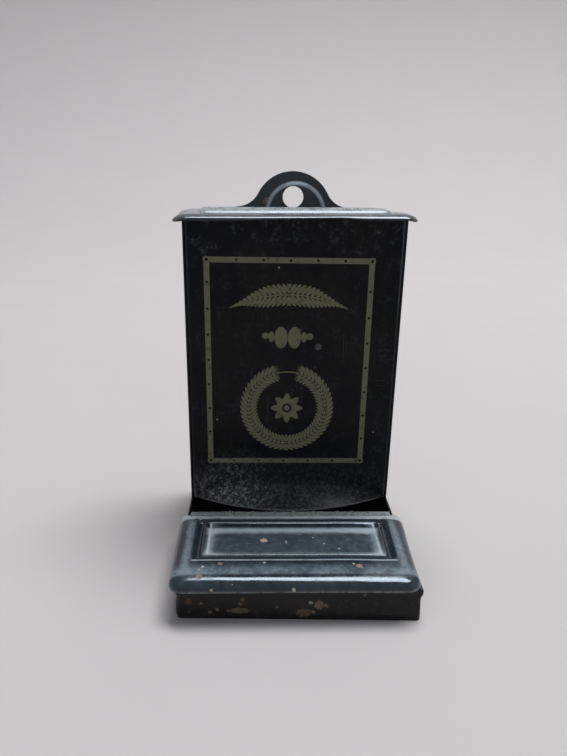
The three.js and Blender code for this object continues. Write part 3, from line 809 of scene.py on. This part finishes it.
def border(f):
    """The border with its studs, evenly spaced on each side, and a ring at each corner."""
    centre, middle, half, tall, pitch = -1.611, 59.555, 26.178, 34.934, 8.61
    x, z = f.x - centre, f.z - middle
    band = abs((abs(x) - half).most(abs(z) - tall)).between(1.0, 0.82)

    def studs(along, first, across):
        part = (along - first).math("PINGPONG", pitch / 2)
        return ((part * part + across * across) ** 0.5).between(0.52, 0.34)

    upright, level = abs(abs(x) - half), abs(abs(z) - tall)
    above, right = z.between(-1, 1), x.between(-1, 1)
    between_corners = abs(x).between(24, 22)
    beside_corners = abs(z).between(33, 31)
    holes = any_of(studs(x, 0.44, level) * between_corners * above,
                   studs(x, -0.86, level) * between_corners * (1 - above),
                   studs(z, 2.0, upright) * beside_corners * (1 - right),
                   studs(z, -0.6, upright) * beside_corners * right)
    corner = (upright * upright + level * level) ** 0.5
    ring = abs(corner - 0.8).between(0.38, 0.2)
    return ((band - holes).most(0.0) * (1 - corner.between(1.25, 0.9))).most(ring)


def ovals(f):
    """Two ovals side by side with a knob and a bead at each end: centre, half width, half height."""
    rows = ((-3.92, 69.33, 2.15, 3.6), (0.47, 69.34, 2.15, 3.6), (-9.04, 69.9, 1.15, 1.1),
            (5.49, 69.75, 1.15, 1.1), (-7.1, 69.6, 0.95, 1.75), (3.6, 69.5, 0.95, 1.75))
    shares = []
    for x, z, half_width, half_height in rows:
        u, v = (f.x - x) / half_width, (f.z - z) / half_height
        shares.append(((u * u + v * v) ** 0.5).between(1.06, 0.94))
    return any_of(*shares)


def garland(f):
    """A hanging garland, its leaves growing outwards from the middle along a stem."""
    centre, top, droop, leaf_half, lean, half = -1.6, 83.5, 0.012, 0.8, 0.8, 18.5
    u = abs(f.x - centre)
    v = f.z - top + u * u * droop
    leaf = (u - abs(v) * lean).math("PINGPONG", 2 * leaf_half)
    leaf = (leaf - leaf_half) / leaf_half
    reach = 3.4 * u.between(19, 6) + 0.3
    out = abs(v) - reach * 0.5
    leaves = ((leaf * leaf) + out * out * 4 / (reach * reach)).between(1.05, 0.8) * u.between(half, half - 1)
    stem = abs(v).between(0.3, 0.15) * u.between(half + 1, half)
    return leaves.most(stem)


def wreath(f):
    """A wreath, open at its top, with an eight-petalled rosette in it."""
    centre, middle, radius, leaf_half, lean, petals = -1.6, 44.5, 13, 0.73, 0.9, 8
    cx, cz = f.x - centre, f.z - middle
    away = (cx * cx + cz * cz) ** 0.5
    turn = abs(cx).math("ARCTAN2", -cz)
    off = away - radius
    leaf = (turn * radius - abs(off) * lean).math("PINGPONG", 2 * leaf_half)
    leaf = (leaf - leaf_half) / leaf_half
    from_row = abs(off) - 1.5
    leaves = (leaf * leaf + from_row * from_row / 2.2).between(1.05, 0.8) * turn.between(2.95, 2.8)
    stem = abs(off).between(0.28, 0.14)
    petal = (cz.math("ARCTAN2", cx) * petals).math("COSINE")
    rosette = (away - petal * 0.9).between(4.6, 4.3) * away.between(1.5, 1.8)
    return any_of(leaves, stem, rosette, away.between(1.1, 0.9))


def printed_frame(f, fine, grain):
    """Border and ornaments, and how much of the worn gilt is kept."""
    share = any_of(border(f), ovals(f), garland(f), wreath(f))
    kept = (fine * 0.75 + grain * 0.35).between(0.3, 0.52) * 0.85
    return share.least(1.0), kept


# Wear and dust: each function gives a share and a colour.

def fold_highlight(f, fine, grain):
    """A painted highlight down each side fold of the front plate, where the rounded fold catches the light:
    stronger on the right and clearest near the top.
    """
    on_right = f.x.between(-1, 1)
    line = (abs(f.x) - 0.1 * on_right).near(33.95, 0.6)
    line = line * (on_right * 0.5 + 0.3) * (0.4 + 0.6 * f.z.between(50, 100))
    return line * (fine * 0.6 + 0.4), (0.11, 0.13, 0.15)


def lip_dust(f, fine, grain):
    """Dust lying on the scoop at the foot of the front plate, thickest to the left."""
    across = f.x / LIP_HALF
    bulge = 1 - (across * across) * (across * across)
    rise = bulge * (LIP_RISE - LIP_END_RISE) + LIP_FOOT + LIP_END_RISE
    low = (rise - f.z).between(-1.0, 3.5).most((rise - f.z).between(-14, 0) * 0.5)
    clumps = f.noise(1.3, 5, 0.75, (6, 6, 1)).between(0.47, 0.6)
    specks = any_of(f.specks(0.5, 0.35, 0.36, (1, 2, 3)), f.specks(0.85, 0.25, 0.3, (7, 5, 3)))
    left = 0.22 + 0.78 * (f.x + fine * 8).between(2, -18)
    share = low * left * (0.08 + clumps * 0.42 + specks * (0.5 + clumps * 0.5))
    return share, DUST


def smudges(f, fine, grain):
    """Cloudy smudges and rubbed places on the front."""
    cloud = f.noise(6, 4, 0.7, (14, 3, 6)).between(0.5, 0.66)
    wiped = f.noise(1.2, 3, 0.7, (2, 9, 6)).between(0.38, 0.62)
    top = f.z.between(92, 102) * 0.6 + 0.25
    return cloud * wiped * top * 0.5, (0.1, 0.115, 0.14)


def lip_edge_highlight(f, fine, grain):
    """A painted highlight along the foot of the scoop, where its raw edge catches the light."""
    return f.z.between(10.35, 10.1) * (fine * 0.6 + 0.25) * f.z.between(9.5, 9.7), (0.16, 0.17, 0.165)


def lid_haze(f, fine, grain):
    """Rubbed haze on the bevel round the dish, strongest at its corners."""
    dish_half, dish_middle, dish_deep = 26.0, -31.9, 6.1
    side = abs(f.x) - dish_half
    cross = abs(f.y - dish_middle) - dish_deep
    near = abs(side.most(cross)).between(1.9, 0.2)
    corner = (side.between(-6, -0.5) * cross.between(-3.5, -0.5)) * 0.6 + 0.4
    return near * corner * (fine * 0.6 + 0.35) * 1.05, (0.42, 0.47, 0.47)


def lid_rear_dust(f, fine, grain):
    """Dust behind the frame of the lower lid and on the edge of its flange."""
    back = f.y.between(-20.1, -19.0) * f.y.between(-13.0, -16.5)
    edge = f.y.between(-13.9, -13.3)
    blotch = (fine * 0.7 + grain * 0.5).between(0.35, 0.75)
    return (back * 0.9 + edge * 0.5) * (blotch * 0.5 + 0.5), (0.5, 0.56, 0.58)


def lid_dust_and_sheen(f, fine, grain):
    """A thin film of dust, thicker in the dish and along the front of the frame; its blue-grey tone,
    strongest along the front of the frame, is also a painted reflection of the sky.
    """
    film = (fine * 0.6 + f.noise(9, 3, 0.6, (8, 1, 4)) * 0.6).between(0.35, 0.85)
    dish = abs(f.x).between(27.5, 25.5) * f.y.between(-38.5, -37) * f.y.between(-23, -25.5)
    front = f.y.between(-42.4, -47.2) * f.y.between(-48.9, -47.7)
    return film * 0.05 + dish * (film * 0.1 + 0.07) + front * (film * 0.3 + 0.14), (0.28, 0.36, 0.42)


def lid_ridge_highlights_and_wear(f, fine, grain):
    """Painted highlights where the ridges round the panel and along the frame catch the light, partly rubbed
    bright by wear as well.
    """
    across, along = abs(f.x), f.y
    rear = (along.near(-21.75, 0.42) + along.near(-25.2, 1.3) * 0.5) * across.between(27.6, 26.6)
    front = along.near(-41.8, 0.45) * across.between(31.4, 29.5)
    inner = (across.near(26.15, 0.6) + across.between(22.5, 26) * across.between(26.6, 26.1) * 0.3)
    inner = inner * along.between(-39, -38) * along.between(-21.6, -22.6)
    crest = across.near(32.1, 2.0) * along.between(-49, -42) * along.between(-18, -23) * 0.42
    worn = (fine * 0.8 + grain * 0.4).between(0.25, 0.65) * 0.6 + 0.3
    return any_of(rear, front, inner, crest) * worn * 0.75, (0.42, 0.5, 0.56)


def lid_raw_edge(f, fine, grain):
    """Bare tin showing along the lower edge of the lid's front roll."""
    low = f.z.between(10.75, 10.3) * f.y.between(-30, -45) * f.z.between(8.0, 9.0)
    return low * (fine * 0.7 + grain * 0.3).between(0.35, 0.6) * 0.6, (0.28, 0.26, 0.22)


def top_dust(f, fine, grain):
    """Dust on the top lid's panel, and a little along its skirt."""
    panel = f.y.between(3.7, 4.3) * 0.6 + f.y.between(-2.9, -1.5) * 0.16
    return panel * (fine * 0.5 + grain * 0.5).between(0.2, 0.75) * f.z.between(106, 107.5), (0.5, 0.55, 0.57)


def top_tip_rust(f, fine, grain):
    """Rust on the drooping tips of the top lid's skirt."""
    tip = abs(f.x).between(34.5, 37.8) * f.z.between(109, 107)
    return tip * (fine + grain * 0.4).between(0.45, 0.8) * 0.7, RUST


def arch_highlight(f, fine, grain):
    """A painted highlight along the arch bead round the nail hole, brightest near its top, where the bead
    catches the light.
    """
    dx, dz = f.x - ARCH_X, f.z - ARCH_Z
    from_arch = abs((dx * dx + dz * dz) ** 0.5 - ARCH_RADIUS)
    line = from_arch.between(0.95, 0.25) * f.z.between(106, 109)
    top = (dx - 0.3).near(0, 5) * f.z.between(114, 116.4) * 0.4 + 0.6
    return line * (fine * 0.9 + 0.45).least(1.0) * top, (0.72, 0.83, 0.92)


def tray_grime(f, fine, grain):
    """Brown grime along the foot of the tray's front."""
    foot = f.z.between(7, 1.5) * f.y.between(-20, -40)
    return foot * f.noise(2.6, 4, 0.7, (3, 3, 9)).between(0.5, 0.72) * 0.3, (0.09, 0.07, 0.05)


# Chips and spots, and one painted highlight on the body: place in millimetres, radius, colour and, where one
# isn't round, its stretch.

TRAY_FACE, DISH, FRAME_TOP = -50.9, 12.3, 13.4
FRONT_SPOTS = [((x, 0, z), *rest) for x, z, *rest in (
    (2.2, 72.0, 0.6, (0.1, 0.1, 0.1)), (8.4, 66.2, 1.3, (0.09, 0.09, 0.1)),
    (-8.9, 69.2, 0.4, (0.1, 0.1, 0.1)), (-4.95, 92.1, 0.35, CHALK),
    (-25.4, 40.1, 0.3, GREY_CHIP), (28.6, 35.5, 0.3, GREY_CHIP))]
BODY_SPOTS_AND_GLINT = [((x, TRAY_FACE, z), *rest) for x, z, *rest in (
    (6.6, 4.9, 1.5, RUST), (4.2, 5.6, 0.6, CHALK), (8.6, 4.7, 0.7, RUST),
    (2.2, 2.3, 1.6, (0.13, 0.09, 0.06), (0.7, 1, 1)), (5.0, 2.6, 0.8, RUST),
    (-16.4, 2.8, 1.7, (0.12, 0.1, 0.07), (0.45, 1, 1.6)), (-15.9, 5.2, 0.5, RUST),
    (-24.5, 2.2, 0.8, (0.14, 0.11, 0.08)), (-22.4, 3.1, 0.75, (0.16, 0.13, 0.09)),
    (-26.9, 5.3, 0.65, (0.2, 0.16, 0.11)), (-30.5, 5.7, 1.2, (0.11, 0.055, 0.04)),
    (-30.6, 2.2, 0.6, (0.15, 0.12, 0.09)), (19.5, 8.0, 0.6, (0.13, 0.11, 0.09)),
    (-5.4, 4.2, 0.5, (0.14, 0.11, 0.08)))]
# The near-white spot at the tray's right front corner is a painted highlight; the other body spots are real
# marks.
BODY_SPOTS_AND_GLINT += [((33.3, -50.6, 4.9), 0.8, (0.75, 0.76, 0.72)),
               ((34.4, -49.8, 1.4), 1.9, (0.12, 0.075, 0.05)), ((35, -40, 40), 1.4, RUST)]
TAB_SPOTS = [((-8.7, 21.4, 111.6), 0.95, (0.3, 0.2, 0.14)),
             ((-9.8, 21.4, 110.9), 0.6, (0.2, 0.15, 0.12))]
LID_SPOTS = [
    ((-9.3, -30.3, DISH), 1.15, (0.5, 0.4, 0.32)),
    ((-2.3, -31.4, DISH), 0.7, (0.3, 0.33, 0.34), (2.2, 0.8, 1)),
    ((9.4, -32.0, DISH), 0.4, GREY_CHIP), ((13.8, -34.7, DISH), 0.45, GREY_CHIP),
    ((6.2, -28.8, DISH), 0.3, GREY_CHIP), ((-21.9, -43.6, FRAME_TOP), 0.8, RUST_PINK),
    ((-27.4, -49.0, 13.2), 0.95, RUST_PINK), ((18.5, -44.8, FRAME_TOP), 1.0, (0.33, 0.15, 0.13)),
    ((16.9, -43.9, FRAME_TOP), 0.45, CHALK), ((-9.0, -43.2, FRAME_TOP), 0.45, (0.4, 0.36, 0.33)),
    ((-26.7, -45.0, FRAME_TOP), 0.5, CHALK), ((-27.8, -46.3, 13.3), 0.4, CHALK),
    ((-23.8, -52.3, 11.1), 0.5, CHALK), ((-18.0, -51.6, 12.4), 0.25, CHALK),
    ((-0.8, -52.3, 11.0), 0.6, (0.46, 0.42, 0.33)), ((-33.3, -27.3, 13.2), 0.25, CHALK),
    ((36.0, -50.6, 11.0), 1.2, RUST), ((35.6, -51.2, 10.4), 0.8, RUST)]


def finishes():
    front = japan("front_japan_printed", level=0.11, gloss=0.3, paint=printed_frame, dusty=0.15, chips=0.0,
                  layers=[smudges, fold_highlight, lip_dust, lip_edge_highlight], spots=FRONT_SPOTS)
    body = japan("body_japan_worn", base=(0.009, 0.008, 0.0078), warm=(0.014, 0.0115, 0.0095), level=0.22,
                 gloss=0.36, dusty=0.3, chips=0.05, layers=[tray_grime], spots=BODY_SPOTS_AND_GLINT)
    back = japan("back_japan_worn", base=(0.02, 0.0235, 0.028), warm=(0.026, 0.027, 0.029), level=0.6,
                 tint=(0.85, 0.95, 1), gloss=0.3, dusty=0.3, layers=[arch_highlight], spots=TAB_SPOTS)
    # Painted sky sheen: the lids are black japan, coloured blue here and given blue-tinted reflections.
    blue = dict(base=BLUE_SHEEN_JAPAN, warm=(0.012, 0.017, 0.023), level=0.75, tint=(0.76, 0.89, 1.0), gloss=0.11,
                dusty=0.25)
    lid_layers = [lid_dust_and_sheen, lid_haze, lid_ridge_highlights_and_wear, lid_rear_dust, lid_raw_edge]
    lower = japan("lower_lid_japan", layers=lid_layers, spots=LID_SPOTS, **blue)
    top = japan("top_lid_japan", chips=0.0, layers=[top_dust, top_tip_rust], **blue)
    # The inside of the tray and chute is near black as painted shade, where it shows through the openings.
    inside = japan("inner_painted_shade", base=(0.006, 0.0055, 0.005), level=0.1, gloss=0.6, dusty=0.3, chips=0.0)
    lint = Finish("settled_lint", Roughness=0.9, Specular_IOR_Level=0.1)
    shade_of = lint.noise(0.8, 2, 0.5)
    lint.feed(Base_Color=lint.blend(shade_of.between(0.35, 0.65), (0.16, 0.17, 0.16), (0.4, 0.42, 0.39)))
    wire = Finish("hinge_wire_iron", Metallic=0.8)
    patches = wire.noise(1.2, 4, 0.6)
    wire.feed(Base_Color=wire.blend(patches.between(0.4, 0.6), (0.2, 0.18, 0.16), (0.1, 0.055, 0.03)),
              Roughness=patches.between(0.3, 0.7) * 0.4 + 0.35,
              Normal=wire.bump(patches, 0.3, 0.0003))
    return dict(front=front, body=body, back=back, lower=lower, top=top, inside=inside, lint=lint.material,
                wire=wire.material)


def stage_finish(name, tint):
    f = Finish(name, Roughness=0.85, Specular_IOR_Level=0.2)
    weave = f.noise(60, 3, 0.5)
    f.feed(Base_Color=f.blend(weave.between(0.3, 0.7) * 0.25, tint, tuple(c * 0.93 for c in tint)))
    return f.material


# Assembly

looks = finishes()


def dress(piece, material, body, slot, *nodes):
    piece.data.materials.clear()
    piece.data.materials.append(material)
    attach(piece, body)
    if nodes:
        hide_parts(*nodes)
    return piece


dress(front_plate(), looks["front"], "holder", "front_japan", "front_plate")
dress(side_wrap(), looks["body"], "holder", "body_japan", "side_wrap")
dress(back_plate(), looks["back"], "holder", "back_japan", "back_plate")
dress(top_lid(), looks["top"], "top_lid", "lid_japan", "top_lid")
tray_lid = dress(lower_lid(), looks["lower"], "lower_lid", "lid_japan", "lower_lid")

for wire_name, pin in (("top_hinge_wire", TOP_PIN), ("lower_hinge_wire", LOWER_PIN)):
    wire = iron_wire(wire_name + "_drawn", pin, looks["wire"])
    dress(wire, looks["wire"], "holder", "hinge_wire", wire_name)


def lid_catch(p):
    """Where lint lies on the lower lid: along its rear flange, in six heaps of a place and a width."""
    x, y, z = p.T
    heaps = ((-19, 3.5), (-13, 2), (1, 1.2), (9, 3.2), (19, 2), (22, 1.5))
    heaps = sum(np.exp(-((x - at) / wide) ** 2) for at, wide in heaps)
    return ease(-15.4, -14.0, y) * ease(10.6, 10.85, z) * (0.1 + heaps)


lint = crumbs("lint_on_lower_lid", tray_lid, lid_catch, density=1.5, size=0.42, seed=11,
              material=looks["lint"])
dress(lint, looks["lint"], "lower_lid", "lid_japan")

# Painted shade: the near-black inside finish on the tray's floor and the chute.
for node in ("floor_pan", "chute_plate"):
    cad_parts[node].data.materials.clear()
    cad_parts[node].data.materials.append(looks["inside"])


# Stage, light and camera

def sweep():
    """A pale sheet that lies under the holder and rises behind it in one curve."""
    front, bend, top, half = -2200, 500, 2600, 3000
    profile = np.concatenate([[(front, 0)], straight((front, 0), (bend, 0), 4),
                              arc(bend, bend, bend, 270, 360, 24), [(2 * bend, top)]])
    points = np.array([[(x, y, z) for y, z in profile] for x in (-half, half)]).reshape(-1, 3)
    n = len(profile)
    faces = [[i, n + i, n + i + 1, i + 1] for i in range(n - 1)]
    piece = make_piece("backdrop", points, faces, 60)
    piece.data.materials.append(stage_finish("backdrop_pale", (0.505, 0.48, 0.475)))


def area_light(name, place, aim, size, power, tint=(1, 1, 1)):
    light = bpy.data.lights.new(name, "AREA")
    light.shape = "RECTANGLE"
    light.size, light.size_y = size
    light.energy = power
    light.color = tint
    lamp = bpy.data.objects.new(name, light)
    lamp.location = place
    lamp.rotation_euler = (Vector(aim) - Vector(place)).to_track_quat("-Z", "Y").to_euler()
    bpy.context.scene.collection.objects.link(lamp)


def photo_camera():
    """The view that was fitted to the photograph: its three directions, place and focal length."""
    picture_width, focal_length = 567, 612
    place_mm = (-9.952, -193.627, 122.838)
    right, down, ahead = ((0.999392, -0.030448, 0.017096), (0.006115, -0.329379, -0.944179),
                          (0.034378, 0.943704, -0.329001))
    data = bpy.data.cameras.new("photo_camera")
    data.sensor_fit = "HORIZONTAL"
    data.sensor_width = 36
    data.lens = data.sensor_width * focal_length / picture_width
    data.clip_start = 0.01
    camera = bpy.data.objects.new("photo_camera", data)
    turn = Matrix((right, [-d for d in down], [-a for a in ahead])).transposed()
    camera.matrix_world = Matrix.Translation(Vector(to_frame(place_mm)[0])) @ turn.to_4x4()
    bpy.context.scene.collection.objects.link(camera)
    bpy.context.scene.camera = camera


sweep()
area_light("overhead_softbox", (0.42, 0.56, 2.08), (0, 0, 0.05), (1.6, 0.9), 58, (0.96, 0.98, 1.0))
photo_camera()

world = bpy.data.worlds.new("room")
bpy.context.scene.world = world
world.use_nodes = True
room = world.node_tree.nodes["Background"]
room.inputs["Color"].default_value = (0.88, 0.93, 1.0, 1)
room.inputs["Strength"].default_value = 0.32
bpy.context.scene.view_settings.view_transform = "Standard"
